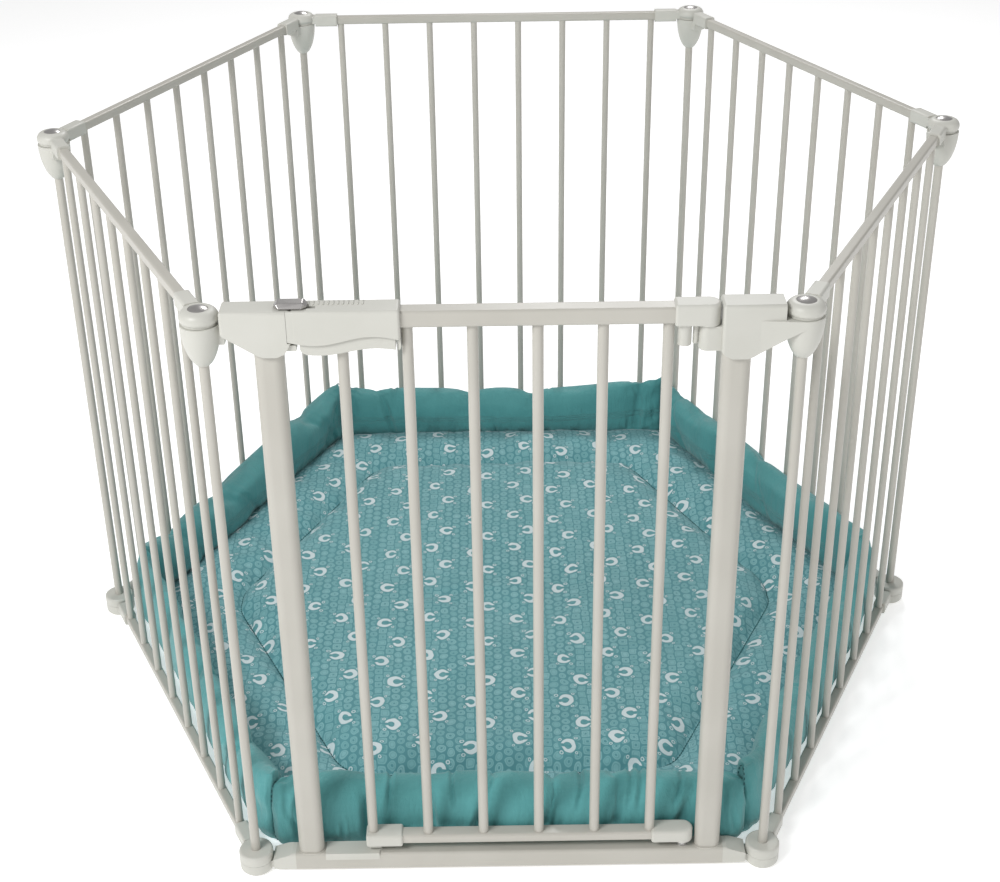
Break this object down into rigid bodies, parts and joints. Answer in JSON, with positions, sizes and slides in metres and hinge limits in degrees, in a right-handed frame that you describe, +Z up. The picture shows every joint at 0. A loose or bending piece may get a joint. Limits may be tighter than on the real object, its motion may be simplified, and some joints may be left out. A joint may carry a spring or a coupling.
{
  "type": "hexagonal bar playpen with gate and mat",
  "caption": "Free-standing hexagonal playpen of hinged steel bar panels with a swinging gate, domed corner joints and a padded floor mat with a raised rim.",
  "frame": {"origin": "on the floor in the middle of the pen, below the centre of its bounding box", "axes": "+X along the gate from the latch to the hinge, +Y from the gate to the back panel, +Z up"},
  "size_m": [1.166, 1.1186, 0.7382],
  "materials": {
    "cream_steel": "warm off-white powder coat, satin",
    "cream_plastic": "warm off-white moulded plastic, satin",
    "silver_grey_plastic": "silver-grey metallic plastic, glossy",
    "zinc_steel": "zinc-plated steel",
    "mat_fabric": "teal padded polyester, printed on the floor"
  },
  "bodies": {
    "gate_frame": {"gate_floor_rail": "cream_steel", "latch_post": "cream_steel", "hinge_post": "cream_steel", "latch_housing": "cream_plastic", "hinge_housing": "cream_plastic", "left_rail_end": "cream_plastic", "right_rail_end": "cream_plastic", "threshold_catch": "cream_plastic", "upper_hinge_pin": "zinc_steel", "lower_hinge_pin": "zinc_steel", "front_left_rod": "cream_steel", "front_right_rod": "cream_steel", "front_left_cap": "silver_grey_plastic", "front_right_cap": "silver_grey_plastic", "mat_floor": "mat_fabric", "mat_rim": "mat_fabric"},
    "gate_leaf": {"gate_leaf_frame": "cream_steel", "gate_handle_shell": "cream_plastic", "gate_hinge_cap": "cream_plastic", "gate_hinge_foot": "cream_plastic", "gate_catch_foot": "cream_plastic", "grip_lever_pin": "zinc_steel", "lever_spring": "zinc_steel", "button_spring": "zinc_steel"},
    "latch_bolt": {"latch_bolt": "zinc_steel"},
    "grip_lever": {"grip_lever": "cream_plastic"},
    "slide_button": {"slide_button": "silver_grey_plastic"},
    "left_front_section": {"left_front_panel": "cream_steel", "left_front_top_knuckle": "cream_plastic", "left_front_egg_knuckle": "cream_plastic", "left_front_foot_ring": "cream_plastic", "left_front_foot_cup": "cream_plastic", "left_rod": "cream_steel", "left_cap": "silver_grey_plastic"},
    "left_back_section": {"left_back_panel": "cream_steel", "left_back_top_knuckle": "cream_plastic", "left_back_egg_knuckle": "cream_plastic", "left_back_foot_ring": "cream_plastic", "left_back_foot_cup": "cream_plastic", "back_left_rod": "cream_steel", "back_left_cap": "silver_grey_plastic"},
    "back_section": {"back_panel": "cream_steel", "back_left_knuckle": "cream_plastic", "back_right_knuckle": "cream_plastic", "back_left_foot": "cream_plastic", "back_right_foot": "cream_plastic"},
    "right_front_section": {"right_front_panel": "cream_steel", "right_front_top_knuckle": "cream_plastic", "right_front_egg_knuckle": "cream_plastic", "right_front_foot_ring": "cream_plastic", "right_front_foot_cup": "cream_plastic", "right_rod": "cream_steel", "right_cap": "silver_grey_plastic"},
    "right_back_section": {"right_back_panel": "cream_steel", "right_back_top_knuckle": "cream_plastic", "right_back_egg_knuckle": "cream_plastic", "right_back_foot_ring": "cream_plastic", "right_back_foot_cup": "cream_plastic", "back_right_rod": "cream_steel", "back_right_cap": "silver_grey_plastic"}
  },
  "joints": [
    {"name": "gate_swing", "type": "hinge", "parent": "gate_frame", "child": "gate_leaf", "pos_m": [0.204, -0.53928, 0.4], "axis": [0, 0, 1], "range_deg": [0, 90]},
    {"name": "grip_squeeze", "type": "hinge", "parent": "gate_leaf", "child": "grip_lever", "pos_m": [-0.114, -0.53928, 0.7045], "axis": [0, 1, 0], "range_deg": [0, 5], "stiffness_Nm_per_rad": 0.5, "springref_deg": -8.59, "deforming": ["lever_spring"]},
    {"name": "bolt_draw", "type": "slide", "parent": "gate_leaf", "child": "latch_bolt", "axis": [1, 0, 0], "range_m": [0, 0.004]},
    {"name": "button_slide", "type": "slide", "parent": "gate_leaf", "child": "slide_button", "axis": [1, 0, 0], "range_m": [0, 0.012], "stiffness_N_per_m": 150, "springref_m": -0.004, "deforming": ["button_spring"]},
    {"name": "left_front_fold", "type": "hinge", "parent": "gate_frame", "child": "left_front_section", "pos_m": [-0.3, -0.53928, 0.36], "axis": [0, 0, 1], "range_deg": [0, 36], "deforming": ["mat_floor", "mat_rim"]},
    {"name": "left_side_fold", "type": "hinge", "parent": "left_front_section", "child": "left_back_section", "pos_m": [-0.56302, 0, 0.36], "axis": [0, 0, 1], "range_deg": [-72, 0]},
    {"name": "back_left_fold", "type": "hinge", "parent": "left_back_section", "child": "back_section", "pos_m": [-0.3, 0.53928, 0.36], "axis": [0, 0, 1], "range_deg": [0, 36]},
    {"name": "right_front_fold", "type": "hinge", "parent": "gate_frame", "child": "right_front_section", "pos_m": [0.3, -0.53928, 0.36], "axis": [0, 0, 1], "range_deg": [-36, 0]},
    {"name": "right_side_fold", "type": "hinge", "parent": "right_front_section", "child": "right_back_section", "pos_m": [0.56302, 0, 0.36], "axis": [0, 0, 1], "range_deg": [0, 72]}
  ],
  "couplings": [
    {"joint": "bolt_draw", "follows": "grip_squeeze", "m_per_rad": 0.045791},
    {"joint": "left_side_fold", "follows": "left_front_fold", "ratio": -2},
    {"joint": "back_left_fold", "follows": "left_front_fold", "ratio": 1},
    {"joint": "right_front_fold", "follows": "left_front_fold", "ratio": -1},
    {"joint": "right_side_fold", "follows": "left_front_fold", "ratio": 2}
  ]
}
